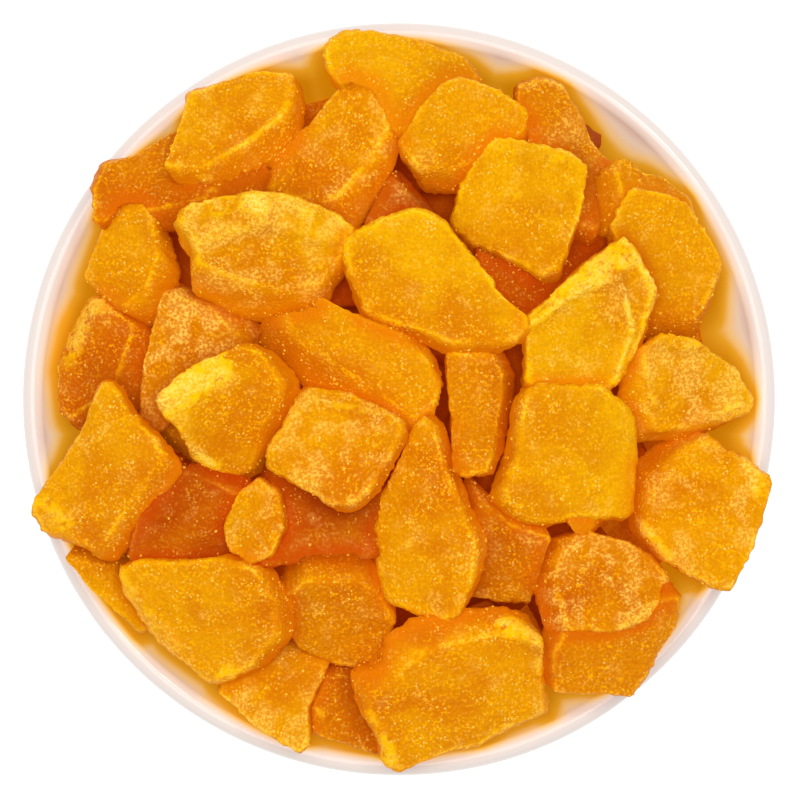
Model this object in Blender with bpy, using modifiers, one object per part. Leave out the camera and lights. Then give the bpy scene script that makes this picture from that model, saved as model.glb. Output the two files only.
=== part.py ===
"""A round white bowl heaped with diced dried peach.

Metres, +Z up, with the origin on the ground under the middle of the bowl. The heap is one solid: a
plain core that fills the bowl, a buried layer of dice laid out by a rule, and on top the dice that
show, each dropped in turn on what lies under it.
"""

import math
import random
from collections import namedtuple

import bmesh
import bpy
import numpy as np

MM = 0.001

# Bowl
RIM_RADIUS = 75.5 * MM
BOWL_HEIGHT = 62 * MM
LIP = 4.2 * MM
FLOOR = 9 * MM
FOOT_RADIUS = 34 * MM
FOOT_WIDTH = 5 * MM
FOOT_HEIGHT = 4 * MM
INSIDE_CURVE = 2.7
OUTSIDE_CURVE = 1.75
BOWL_TURNS = 64

# Heap
GAP = 0.5 * MM
MOUND = 13 * MM
EDGE_RISE = 7 * MM
CORE_DEPTH = 26 * MM
BURIED_DEPTH = 9 * MM
CORE_RINGS = 7
CORE_TURNS = 28

# Dice
THICKNESS = 11 * MM
CHAMFER = 1.6 * MM
STEEPEST = math.tan(math.radians(21))
SINK = 0.6 * MM
BEARING = 0.65
BURIED = 26
BURIED_SPREAD = 58 * MM
GOLDEN_ANGLE = math.pi * (3 - math.sqrt(5))

# Grid on which the dice settle
CELL = 1 * MM
REACH = 80 * MM

# How a dice is cut, seen from above, on its length and its width before it is turned. Taper makes
# its far end narrower, skew slides its left side along, and nose and tail are the shares of its half
# length over which its far end and its near end run to a point.
Dice = namedtuple("Dice", "x y length width turn taper skew nose tail")

# The dice that show, from the lowest to the highest: places and sizes in mm, turns in degrees
SHOWN = (
    Dice(28, 22, 26, 20, 0, 0, 0, 0, 0),
    Dice(0, 39, 15, 12, 60, 0, 0, 0.8, 0),
    Dice(-17, -24, 25, 18, 0, 0, 0, 0, 0),
    Dice(-44, -22, 24, 20, 15, 0, 0, 0, 0.2),
    Dice(-55, -37, 19, 8, -60, 0, 0, 0, 0),
    Dice(-45, -9, 14, 9, -30, 0, 0, 0.3, 0),
    Dice(38, -25, 11, 8, 0, 0, 0, 0.3, 0.3),
    Dice(31, 46, 33, 16, -72, 0.1, 0, 0, 0.15),
    Dice(-44.5, 40.5, 31, 14, 0, 0, 0.1, 0.1, 0.1),
    Dice(-11, -60.5, 15, 10, -70, 0, 0, 0, 0.2),
    Dice(46, 38.5, 20, 12, -20, 0, 0, 0, 0.1),
    Dice(-16, 58, 16, 14, 20, 0, 0, 0, 0),
    Dice(22, -28, 23, 14, -80, 0, 0, 0, 0),
    Dice(39.5, -49.5, 24, 18, 8, -0.3, 0.3, 0, 0),
    Dice(-26, -57, 21, 19, -10, -0.75, 0, 0, 0),
    Dice(51, 25, 27, 21, -62, 0.2, 0, 0.2, 0.25),
    Dice(-57.5, 8, 24, 19, 75, 0, 0, 0.3, 0.3),
    Dice(-51, 26.5, 24, 19, 90, 0.2, 0, 0.3, 0),
    Dice(-41.5, 8, 30, 19, 60, -0.5, 0, 0, 0.1),
    Dice(-9.5, 7, 37, 17, -18, 0, 0, 0.25, 0.1),
    Dice(56, 1, 26, 19, -8, 0, 0, 0.3, 0.1),
    Dice(1.5, 61, 32, 18, -22, 0, 0, 0.3, 0.2),
    Dice(-28, -24, 17, 11.5, 80, 0, 0, 0.4, 0.35),
    Dice(-12, -41.5, 22, 20.5, -10, 0, -0.15, 0.1, 0),
    Dice(40.5, -36, 24.5, 20, 0, 0, 0, 0.35, 0.25),
    Dice(13, 52, 25, 20, -28, 0, 0, 0.1, 0.3),
    Dice(-13, 48, 29, 24, 69, 0.4, 0, 0.1, 0),
    Dice(-30.5, 53, 23, 21, 14, 0.25, 0.1, 0.2, 0),
    Dice(-26.5, 28, 35, 22, -5, 0, 0, 0.3, 0.25),
    Dice(23.5, 37.5, 20.5, 23, -23, 0, 0, 0, 0),
    Dice(6.5, 22.5, 38, 22, -37, 0.2, 0.1, 0.15, 0.25),
    Dice(38, 14.5, 34, 22, 50, 0.35, 0, 0, 0.6),
    Dice(-34, -3, 26, 24, -20, 0, 0.15, 0.25, 0.45),
    Dice(16, -3, 24, 12, -87, 0.2, 0, 0, 0),
    Dice(-12.5, -9.5, 25.5, 19, -20, 0, 0, 0.1, 0.05),
    Dice(6, -24, 40, 22, 90, -0.3, 0, 0.85, 0.1),
    Dice(33, -11, 27, 26.5, 0, 0, 0.08, 0, 0),
    Dice(60, -22.5, 30, 26, -55, -0.35, 0, 0.8, 0),
    Dice(-56.5, -14.5, 30, 32, 16, 0, 0.25, 0.7, 0.6),
    Dice(-38, -43, 36, 26, -22, -0.35, 0, 0.6, 0.3),
    Dice(10.5, -56, 38, 25, 10, 0, 0.12, 0.15, 0.25),
)


def main():
    """Builds the bowl and the heap in a scene of their own."""
    for old in list(bpy.data.objects):
        bpy.data.objects.remove(old)
    parts = bpy.data.collections.new("bowl_of_diced_dried_peach")
    bpy.context.scene.collection.children.link(parts)
    build_bowl(parts)
    build_heap(parts)


def material(name, colour, roughness):
    """A plain surface of one colour."""
    made = bpy.data.materials.new(name)
    made.use_nodes = True
    surface = made.node_tree.nodes["Principled BSDF"]
    surface.inputs["Base Color"].default_value = (*colour, 1)
    surface.inputs["Roughness"].default_value = roughness
    surface.inputs["Metallic"].default_value = 0
    return made


# Bowl


def inside_height(radius):
    """Height of the bowl's inner wall at a distance from its axis."""
    share = np.clip(radius / (RIM_RADIUS - LIP), 0, 1)
    return FLOOR + (BOWL_HEIGHT - LIP / 2 - FLOOR) * share**INSIDE_CURVE


def outside_radius(height):
    """Radius of the bowl's outer wall at a height, from the foot up to the lip."""
    share = (height - FOOT_HEIGHT) / (BOWL_HEIGHT - LIP / 2 - FOOT_HEIGHT)
    return FOOT_RADIUS + (RIM_RADIUS - FOOT_RADIUS) * share ** (1 / OUTSIDE_CURVE)


def bowl_profile():
    """The wall's section, from the middle of the inner floor over the lip to the middle underneath."""
    inside = [(r, inside_height(r)) for r in np.linspace(0, RIM_RADIUS - LIP, 9)]
    radius, height = RIM_RADIUS - LIP / 2, BOWL_HEIGHT - LIP / 2
    turns = np.radians(np.arange(144, -1, -36))
    lip = [(radius + LIP / 2 * math.cos(a), height + LIP / 2 * math.sin(a)) for a in turns]
    shares = np.linspace(1, 0, 10)[1:]
    outside = [(outside_radius(z), z) for z in FOOT_HEIGHT + (BOWL_HEIGHT - LIP - FOOT_HEIGHT) * shares**1.6]
    ring = FOOT_RADIUS - FOOT_WIDTH
    foot = [(FOOT_RADIUS, 0), (ring, 0), (ring - FOOT_HEIGHT / 4, FOOT_HEIGHT / 2), (0, FOOT_HEIGHT / 2)]
    return inside + lip + outside + foot


def turned(name, profile, turns):
    """An object made by turning a profile of (radius, height) points about the vertical axis."""
    mesh = bpy.data.meshes.new(name)
    edges = [(i, i + 1) for i in range(len(profile) - 1)]
    mesh.from_pydata([(r, 0, z) for r, z in profile], edges, [])
    made = bpy.data.objects.new(name, mesh)
    screw = made.modifiers.new("turn", "SCREW")
    screw.steps = screw.render_steps = turns
    screw.use_merge_vertices = True
    screw.merge_threshold = 0.00001
    screw.use_smooth_shade = True
    return made


def build_bowl(parts):
    """The white glazed bowl, on its foot ring."""
    bowl = turned("bowl", bowl_profile(), BOWL_TURNS)
    bowl.data.materials.append(material("white_glaze", (0.9, 0.88, 0.86), 0.2))
    parts.objects.link(bowl)


# Heap


def crown(radius):
    """Height of the heap's top at a distance from the axis."""
    return BOWL_HEIGHT + EDGE_RISE + MOUND * (1 - np.clip(radius / RIM_RADIUS, 0, 1) ** 2)


def core_profile():
    """The core's section: its domed top from the middle out, then down along the bowl's wall."""
    edge = RIM_RADIUS - LIP
    while inside_height(edge) > crown(edge) - CORE_DEPTH:
        edge -= GAP
    edge -= GAP
    top = [(r, crown(r) - CORE_DEPTH) for r in np.linspace(0, edge, CORE_RINGS)]
    wall = [(r, inside_height(r) + 1.2 * GAP) for r in np.linspace(edge, 0, CORE_RINGS)]
    return top + wall


def outline(dice):
    """A dice's corners seen from above, turned as it lies but about its own middle."""
    far, near = 1 - dice.nose, -1 + dice.tail
    far_width, near_width = min(1, 1 - dice.taper), min(1, 1 + dice.taper)
    corners = [(near, -near_width), (far, -far_width)]
    corners += [(1, 0)] if dice.nose else []
    corners += [(far, far_width), (near, near_width)]
    corners += [(-1, 0)] if dice.tail else []
    turn = math.radians(dice.turn)
    c, s = math.cos(turn), math.sin(turn)
    along = np.array([(u + dice.skew * v) * dice.length * MM / 2 for u, v in corners])
    across = np.array([v * dice.width * MM / 2 for u, v in corners])
    return np.stack((along * c - across * s, along * s + across * c), axis=1)


class Ground:
    """What lies under the next dice: height of the bowl, and of the heap so far, over a square grid."""

    def __init__(self):
        side = np.arange(-REACH, REACH, CELL) + CELL / 2
        self.places = np.stack(np.meshgrid(side, side, indexing="ij"), axis=-1).reshape(-1, 2)
        radius = np.linalg.norm(self.places, axis=1)
        from_lip = np.clip(radius - RIM_RADIUS + LIP / 2, -LIP / 2, LIP / 2)
        over_lip = BOWL_HEIGHT - LIP / 2 + np.sqrt(LIP**2 / 4 - from_lip**2)
        self.bowl = np.where(radius < RIM_RADIUS - LIP, inside_height(radius), over_lip)
        self.bowl[radius > RIM_RADIUS] = 0
        self.heap = np.maximum(self.bowl, crown(radius) - CORE_DEPTH)

    def under(self, corners):
        """Which cells lie inside some corners, listed anticlockwise."""
        inside = np.ones(len(self.places), dtype=bool)
        for start, end in zip(corners, np.roll(corners, -1, axis=0)):
            out = (end - start)[1], -(end - start)[0]
            inside &= (self.places - start) @ out < CELL * math.hypot(*out) / 2
        return inside

    def settle(self, corners, thickness, ceiling):
        """Lays a dice down, its middle under a ceiling. Returns its height and its slopes along x and y."""
        cells = self.under(corners)
        middle = corners.mean(axis=0)
        offset = self.places[cells] - middle
        fit = np.column_stack((offset, np.ones(len(offset))))
        over = self.bowl[cells] > 0
        slope = np.linalg.lstsq(fit[over], self.heap[cells][over], rcond=None)[0][:2]
        slope /= max(1, np.linalg.norm(slope) / STEEPEST)
        rise = offset @ slope
        bottom = np.quantile(self.heap[cells] - rise, BEARING) - SINK
        bottom = min(bottom, ceiling - thickness)
        bottom = max(bottom, (self.bowl[cells] - rise).max() + GAP)
        self.heap[cells] = np.maximum(self.heap[cells], bottom + rise + thickness)
        return bottom + thickness / 2, slope


def dice_mesh(corners, thickness, height, slope):
    """A slab over some corners, its edges chamfered, leaning along a slope."""
    middle = corners.mean(axis=0)
    reach = np.linalg.norm(corners - middle, axis=1).mean()
    inset = 1 - CHAMFER / reach
    rings = (
        (inset, -thickness / 2),
        (1, CHAMFER - thickness / 2),
        (1, thickness / 2 - CHAMFER),
        (inset, thickness / 2),
    )
    points = []
    for scale, level in rings:
        for corner in corners:
            x, y = (corner - middle) * scale
            points.append((middle[0] + x, middle[1] + y, height + level + slope[0] * x + slope[1] * y))
    count = len(corners)
    faces = [list(range(count))[::-1], list(range(3 * count, 4 * count))]
    for ring in range(3):
        for i in range(count):
            a, b = ring * count + i, ring * count + (i + 1) % count
            faces += [(a, b, b + count), (a, b + count, a + count)]
    mesh = bpy.data.meshes.new("dice")
    mesh.from_pydata(points, [], faces)
    return mesh


def buried_dice():
    """The layer under the dice that show: a spiral that spreads them evenly, their sizes drawn."""
    rng = random.Random(5)
    for i in range(BURIED):
        radius, angle = BURIED_SPREAD * math.sqrt((i + 0.5) / BURIED), i * GOLDEN_ANGLE
        x, y = radius * math.cos(angle) / MM, radius * math.sin(angle) / MM
        yield Dice(x, y, rng.uniform(20, 29), rng.uniform(17, 23), rng.uniform(0, 360), 0.2, 0, 0, 0)


def laid_dice():
    """Each dice's mesh where it lies, from the lowest to the highest."""
    ground = Ground()
    rng = random.Random(9)
    for number, dice in enumerate([*buried_dice(), *SHOWN]):
        corners = outline(dice) + (dice.x * MM, dice.y * MM)
        thickness = THICKNESS * rng.uniform(0.85, 1.15)
        ceiling = crown(math.hypot(dice.x * MM, dice.y * MM)) - BURIED_DEPTH * (number < BURIED)
        height, slope = ground.settle(corners, thickness, ceiling)
        yield dice_mesh(corners, thickness, height, slope)


def closed_volume(shell):
    """Signed volume inside a closed set of a bmesh's flat faces."""
    return sum(face.calc_area() * face.normal.dot(face.verts[0].co) / 3 for face in shell)


def keep_outer_skin(mesh):
    """Drops every shell but the largest: loose scraps, and the hollows that fusing sealed."""
    work = bmesh.new()
    work.from_mesh(mesh)
    bmesh.ops.triangulate(work, faces=work.faces[:])
    left, shells = set(work.faces), []
    while left:
        shell, edge = set(), {next(iter(left))}
        while edge:
            shell |= edge
            edge = {f for e in edge for side in e.edges for f in side.link_faces} - shell
        left -= shell
        shells.append(shell)
    shells.sort(key=closed_volume)
    for shell in shells[:-1]:
        bmesh.ops.delete(work, geom=list(shell), context="FACES")
    work.to_mesh(mesh)
    work.free()


def build_heap(parts):
    """The core with the dice fused on, as one solid."""
    heap = turned("diced_dried_peach", core_profile(), CORE_TURNS)
    parts.objects.link(heap)
    dice = bpy.data.collections.new("dice")
    bpy.context.scene.collection.children.link(dice)
    for mesh in laid_dice():
        dice.objects.link(bpy.data.objects.new("dice", mesh))
    union = heap.modifiers.new("fuse", "BOOLEAN")
    union.operation = "UNION"
    union.operand_type = "COLLECTION"
    union.collection = dice
    union.solver = "MANIFOLD"
    fused = bpy.data.meshes.new_from_object(heap.evaluated_get(bpy.context.evaluated_depsgraph_get()))
    heap.modifiers.clear()
    heap.data = fused
    for piece in list(dice.objects):
        bpy.data.objects.remove(piece)
    bpy.data.collections.remove(dice)
    keep_outer_skin(fused)
    fused.materials.clear()
    fused.materials.append(material("dried_peach", (0.85, 0.33, 0.01), 0.55))


if __name__ == "__main__":
    main()
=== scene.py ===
"""A white glazed bowl heaped with sugared, diced dried peach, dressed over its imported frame."""

import logging
import math
import random
from collections.abc import Iterator, Mapping, Sequence
from dataclasses import dataclass
from enum import Enum
from typing import Any, NamedTuple, Union

import bmesh
import bpy
import numpy as np
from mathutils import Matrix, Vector, noise


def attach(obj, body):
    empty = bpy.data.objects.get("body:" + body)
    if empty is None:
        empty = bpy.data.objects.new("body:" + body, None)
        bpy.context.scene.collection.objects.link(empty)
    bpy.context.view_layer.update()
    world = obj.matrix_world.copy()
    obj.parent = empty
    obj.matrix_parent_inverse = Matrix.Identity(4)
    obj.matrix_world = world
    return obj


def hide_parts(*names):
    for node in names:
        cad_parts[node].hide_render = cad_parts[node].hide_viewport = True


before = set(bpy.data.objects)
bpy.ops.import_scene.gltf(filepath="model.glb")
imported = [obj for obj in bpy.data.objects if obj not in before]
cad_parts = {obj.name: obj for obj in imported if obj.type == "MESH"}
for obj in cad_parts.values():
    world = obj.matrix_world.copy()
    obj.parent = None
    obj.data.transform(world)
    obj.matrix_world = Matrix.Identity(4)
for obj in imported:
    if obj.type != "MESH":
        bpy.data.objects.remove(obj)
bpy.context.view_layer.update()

MM = 0.001
GOLDEN_ANGLE = math.pi * (3 - math.sqrt(5))

Colour = tuple[float, float, float]
Place = tuple[float, float]
Operand = Union["Sock", float, Sequence[float]]

log = logging.getLogger("dried_peach")


class Tone(Enum):
    """The colours that the dice come in, from the palest to the deepest."""

    GOLD = "gold"
    AMBER = "amber"
    ORANGE = "orange"
    RUSSET = "russet"


# Node trees


class Sock:
    """A node's output, for expressions on numbers or on vectors."""

    def __init__(self, graph: "Graph", output: bpy.types.NodeSocket) -> None:
        """Wraps a node's output, in the tree that a graph builds."""
        self.graph = graph
        self.output = output

    def also(self, name: str | int) -> "Sock":
        """Another output of the same node."""
        return Sock(self.graph, self.output.node.outputs[name])

    def __add__(self, other: Operand) -> "Sock":
        """The sum."""
        return self.graph.maths("ADD", self, other)

    def __radd__(self, other: Operand) -> "Sock":
        """The sum, with this one on the right."""
        return self.graph.maths("ADD", other, self)

    def __sub__(self, other: Operand) -> "Sock":
        """The difference."""
        return self.graph.maths("SUBTRACT", self, other)

    def __rsub__(self, other: Operand) -> "Sock":
        """The difference, with this one on the right."""
        return self.graph.maths("SUBTRACT", other, self)

    def __mul__(self, other: Operand) -> "Sock":
        """The product."""
        return self.graph.maths("MULTIPLY", self, other)

    def __rmul__(self, other: Operand) -> "Sock":
        """The product, with this one on the right."""
        return self.graph.maths("MULTIPLY", other, self)

    def __rtruediv__(self, other: Operand) -> "Sock":
        """The quotient, with this one underneath."""
        return self.graph.maths("DIVIDE", other, self)

    def __pow__(self, other: Operand) -> "Sock":
        """The power."""
        return self.graph.maths("POWER", self, other)

    def __abs__(self) -> "Sock":
        """The size without its sign."""
        return self.graph.maths("ABSOLUTE", self)

    def rise(self, low: float, high: float) -> "Sock":
        """A smooth step.

        Args:
            low: Where it is 0.
            high: Where it is 1, which may be the lower of the two.

        Returns:
            The step.
        """
        if high < low:
            return 1 - self.rise(high, low)
        sockets = {"Value": self, "From Min": low, "From Max": high}
        return self.graph.node("ShaderNodeMapRange", {"interpolation_type": "SMOOTHSTEP"}, sockets)


class Graph:
    """Builds a node tree from expressions and nodes."""

    def __init__(self, tree: bpy.types.NodeTree) -> None:
        """Starts on a tree, which it empties."""
        self.tree = tree
        tree.nodes.clear()

    def node(
        self,
        kind: str,
        settings: Mapping[str, Any] | None = None,
        sockets: Mapping[str | int, Any] | None = None,
    ) -> Sock | None:
        """Adds a node.

        Args:
            kind: The node's type.
            settings: Its own settings, set first. A colour ramp's stops are pairs of place and colour.
            sockets: Values or links for its inputs, by name or number.

        Returns:
            Its first output, if it has one.
        """
        made = self.tree.nodes.new(kind)
        for name, value in (settings or {}).items():
            if name == "stops":
                self.set_stops(made.color_ramp, value)
            else:
                setattr(made, name, value)
        for name, value in (sockets or {}).items():
            self.feed(made.inputs[name], value)
        return Sock(self, made.outputs[0]) if made.outputs else None

    def set_stops(self, ramp: bpy.types.ColorRamp, stops: Sequence[tuple[float, Colour]]) -> None:
        """Gives a ramp its stops, at least two.

        Args:
            ramp: The ramp.
            stops: Pairs of place and colour, in order.
        """
        while len(ramp.elements) < len(stops):
            ramp.elements.new(1)
        for element, (place, colour) in zip(ramp.elements, stops):
            element.position = place
            element.color = (*colour, 1)

    def feed(self, socket: bpy.types.NodeSocket, value: Any) -> None:
        """Links an output into an input, or sets the input's value.

        Args:
            socket: The input.
            value: A Sock, a number, or several numbers for a colour or a vector.
        """
        if isinstance(value, Sock):
            self.tree.links.new(value.output, socket)
        elif socket.type == "RGBA":
            socket.default_value = (*value, 1)
        elif socket.type == "VECTOR" and isinstance(value, (int, float)):
            socket.default_value = (value, value, value)
        else:
            socket.default_value = value

    def maths(self, operation: str, *operands: Operand) -> Sock:
        """A Math node, or a Vector Math node where an operand is a vector.

        Args:
            operation: The node's operation.
            operands: Its inputs, in order.

        Returns:
            The result.
        """
        vectors = [o.output.type == "VECTOR" if isinstance(o, Sock) else np.ndim(o) == 1 for o in operands]
        kind = "ShaderNodeVectorMath" if any(vectors) else "ShaderNodeMath"
        return self.node(kind, {"operation": operation}, dict(enumerate(operands)))

    def mix(self, share: Operand, first: Any, second: Any) -> Sock:
        """Goes from the first colour, where the share is 0, to the second, where it is 1."""
        settings = {"data_type": "RGBA", "clamp_factor": True}
        return self.node("ShaderNodeMix", settings, {0: share, 6: first, 7: second}).also(2)

    def noise(self, place: Operand, size: Operand, detail: float = 2.0, wobble: float = 0.0) -> Sock:
        """Smooth noise from 0 to 1 in patches of about a size, in the unit of the place."""
        sockets = {"Vector": place, "Scale": 1 / size, "Detail": detail, "Distortion": wobble}
        return self.node("ShaderNodeTexNoise", None, sockets)

    def attribute(self, name: str) -> Sock:
        """A number that the mesh carries at each point.

        Args:
            name: Its name on the mesh.

        Returns:
            The number.
        """
        if self.tree.bl_idname == "ShaderNodeTree":
            return self.node("ShaderNodeAttribute", {"attribute_name": name}).also("Fac")
        return self.node("GeometryNodeInputNamedAttribute", {"data_type": "FLOAT"}, {"Name": name})


class ShapeTree(Graph):
    """A Geometry Nodes tree with named inputs, applied to a mesh and baked into it."""

    def __init__(self, name: str, sizes: Mapping[str, float]) -> None:
        """Starts a tree.

        Args:
            name: What it makes.
            sizes: The name and value of each input that is a number, named with _ for a space.
        """
        super().__init__(bpy.data.node_groups.new(name, "GeometryNodeTree"))
        face = self.tree.interface
        face.new_socket("Geometry", in_out="OUTPUT", socket_type="NodeSocketGeometry")
        face.new_socket("Geometry", in_out="INPUT", socket_type="NodeSocketGeometry")
        self.values = {}
        for size, value in sizes.items():
            title = size.replace("_", " ").title()
            made = face.new_socket(title, in_out="INPUT", socket_type="NodeSocketFloat")
            self.values[made.identifier] = value
        made = face.new_socket("Finish", in_out="INPUT", socket_type="NodeSocketMaterial")
        self.finish_input = made.identifier
        self.inlet = self.node("NodeGroupInput")

    def size(self, name: str) -> Sock:
        """One of the tree's inputs."""
        return self.inlet.also(name)

    def random(self, low: Any, high: Any, seed: int) -> Sock:
        """A random number, or a random vector, for each point.

        Args:
            low: The least it can be.
            high: The most it can be.
            seed: Tells it from the tree's other draws.

        Returns:
            The draw.
        """
        if isinstance(low, tuple):
            sockets = {0: low, 1: high, "Seed": seed}
            return self.node("FunctionNodeRandomValue", {"data_type": "FLOAT_VECTOR"}, sockets)
        sockets = {2: low, 3: high, "Seed": seed}
        return self.node("FunctionNodeRandomValue", {"data_type": "FLOAT"}, sockets).also(1)

    def end(self, geometry: Sock, smooth: bool) -> None:
        """Realizes, shades and dresses the result.

        Args:
            geometry: What the tree has made.
            smooth: Whether its faces are shaded smooth.
        """
        plain = self.node("GeometryNodeRealizeInstances", None, {"Geometry": geometry})
        shaded = self.node("GeometryNodeSetShadeSmooth", None, {"Geometry": plain, "Shade Smooth": smooth})
        dressed = {"Geometry": shaded, "Material": self.size("Finish")}
        self.node("NodeGroupOutput", None, {0: self.node("GeometryNodeSetMaterial", None, dressed)})

    def apply(self, piece: bpy.types.Object, finish: bpy.types.Material) -> None:
        """Runs the tree on a piece and leaves it a plain mesh.

        Args:
            piece: The piece, whose mesh goes in.
            finish: The material that the result takes.
        """
        modifier = piece.modifiers.new(self.tree.name, "NODES")
        modifier.node_group = self.tree
        for identifier, value in self.values.items():
            modifier[identifier] = value
        modifier[self.finish_input] = finish
        bake(piece)


def bake(piece: bpy.types.Object) -> None:
    """Turns a piece's modifiers into its plain mesh.

    Args:
        piece: The piece.
    """
    bpy.context.view_layer.update()
    graph = bpy.context.evaluated_depsgraph_get()
    plain = bpy.data.meshes.new_from_object(piece.evaluated_get(graph))
    plain.name = piece.name
    piece.modifiers.clear()
    piece.data = plain


def as_object(name: str, points: Sequence, edges: Sequence, faces: Sequence) -> bpy.types.Object:
    """A new object in the scene.

    Args:
        name: Its name.
        points: Its points, in metres.
        edges: Its edges, if it has no faces.
        faces: Its faces.

    Returns:
        The object.
    """
    mesh = bpy.data.meshes.new(name)
    mesh.from_pydata(points, edges, faces)
    made = bpy.data.objects.new(name, mesh)
    bpy.context.scene.collection.objects.link(made)
    return made


def turned(name: str, profile: Sequence[Place], turns: int) -> bpy.types.Object:
    """A piece made by turning a profile about the vertical axis.

    Args:
        name: Its name.
        profile: Radius and height of each point, with both ends on the axis.
        turns: How many steps the turn has.

    Returns:
        The piece, as a plain smooth mesh.
    """
    edges = [(i, i + 1) for i in range(len(profile) - 1)]
    made = as_object(name, [(r, 0, z) for r, z in profile], edges, [])
    screw = made.modifiers.new("turn", "SCREW")
    screw.steps = screw.render_steps = turns
    screw.use_merge_vertices = True
    screw.merge_threshold = 0.00001
    screw.use_smooth_shade = True
    bake(made)
    face_outwards(made.data)
    return made


def face_outwards(mesh: bpy.types.Mesh) -> None:
    """Turns a closed mesh's faces outwards.

    Args:
        mesh: The mesh.
    """
    work = bmesh.new()
    work.from_mesh(mesh)
    bmesh.ops.recalc_face_normals(work, faces=work.faces[:])
    work.to_mesh(mesh)
    work.free()


def ways(angles: np.ndarray) -> np.ndarray:
    """The direction of each angle, as rows of x and y."""
    return np.stack((np.cos(angles), np.sin(angles)), axis=-1)


class Outline:
    """A shape seen from above, with the whole of its edge in sight from its middle."""

    def __init__(self, corners: np.ndarray) -> None:
        """Measures a shape.

        Args:
            corners: Rows of x and y in metres, anticlockwise.
        """
        self.corners = corners
        ends = np.roll(corners, -1, axis=0)
        self.along = ends - corners
        areas = corners[:, 0] * ends[:, 1] - corners[:, 1] * ends[:, 0]
        self.middle = (corners + ends).T @ areas / (3 * areas.sum())

    def reach(self, rays: np.ndarray) -> np.ndarray:
        """How far the edge is from the middle.

        Args:
            rays: Rows of x and y that point away from the middle.

        Returns:
            What each ray is multiplied by to end on the edge.
        """
        start = self.corners - self.middle
        # The tiny numbers keep it from dividing by 0, and let a ray end on a corner
        rays = rays + 1e-12
        cross = rays[:, :1] * self.along[:, 1] - rays[:, 1:] * self.along[:, 0] + 1e-15
        far = (start[:, 0] * self.along[:, 1] - start[:, 1] * self.along[:, 0]) / cross
        share = (start[:, 0] * rays[:, 1:] - start[:, 1] * rays[:, :1]) / cross
        met = (far > 0) & (share > -1e-6) & (share < 1 + 1e-6)
        return np.where(met, far, np.inf).min(axis=1)

    def stretch(self) -> np.ndarray:
        """What turns a round shape into one about as long, as wide and as slanted as this one.

        Returns:
            A matrix of two rows.
        """
        rays = ways(np.radians(np.arange(0, 360, 5)))
        edge = rays * self.reach(rays)[:, None]
        sizes, axes = np.linalg.eigh(edge.T @ edge / len(edge))
        return axes * np.sqrt(2 * sizes) @ axes.T

    def holds(self, places: np.ndarray, share: float = 1.0) -> np.ndarray:
        """True for each place that is inside, or inside that share of the way out to the edge."""
        return self.reach(places - self.middle) > 1 / share

    def away(self, places: np.ndarray) -> np.ndarray:
        """How far places are from the shape.

        Args:
            places: Rows of x and y.

        Returns:
            The distances, 0 inside.
        """
        nearest = np.full(len(places), np.inf)
        for start, along in zip(self.corners, self.along):
            share = np.clip((places - start) @ along / (along @ along), 0, 1)
            nearest = np.minimum(nearest, np.linalg.norm(places - start - np.outer(share, along), axis=1))
        return np.where(self.holds(places), 0, nearest)


# Finishes


def scaled(colour: Colour, share: float) -> Colour:
    """A colour made darker or brighter."""
    return tuple(share * part for part in colour)


class Surface(Graph):
    """A material's tree, around one Principled shader."""

    def __init__(self, name: str, steady: Mapping[str, Any]) -> None:
        """Starts a material.

        Args:
            name: Its name.
            steady: The shader's inputs that are the same all over, but for the strength of its light.
        """
        self.material = bpy.data.materials.new(name)
        self.material.use_nodes = True
        self.material.cycles.emission_sampling = "NONE"
        super().__init__(self.material.node_tree)
        self.shader = self.tree.nodes.new("ShaderNodeBsdfPrincipled")
        for socket, value in {"Emission Strength": 1.0, **steady}.items():
            self.feed(self.shader.inputs[socket], value)
        self.node("ShaderNodeOutputMaterial", None, {"Surface": Sock(self, self.shader.outputs[0])})
        self.place = self.node("ShaderNodeTexCoord").also("Object") * (1 / MM)

    def cells(self, size: float) -> Sock:
        """Distance from the nearest cell's middle, in cell sizes. Its node's Color tells cells apart."""
        return self.node("ShaderNodeTexVoronoi", None, {"Vector": self.place, "Scale": 1 / size})

    def paint(self, **varying: Sock) -> None:
        """Feeds the shader's inputs that vary, named with _ for a space."""
        for name, value in varying.items():
            self.feed(self.shader.inputs[name.replace("_", " ").title()], value)

    def relief(self, height: Sock, depth: float, strength: float = 1.0) -> None:
        """Raises the surface in the shading by a height from 0 to 1, where 1 stands for the depth."""
        sockets = {"Strength": strength, "Distance": depth, "Height": height}
        self.feed(self.shader.inputs["Normal"], self.node("ShaderNodeBump", None, sockets))


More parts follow.
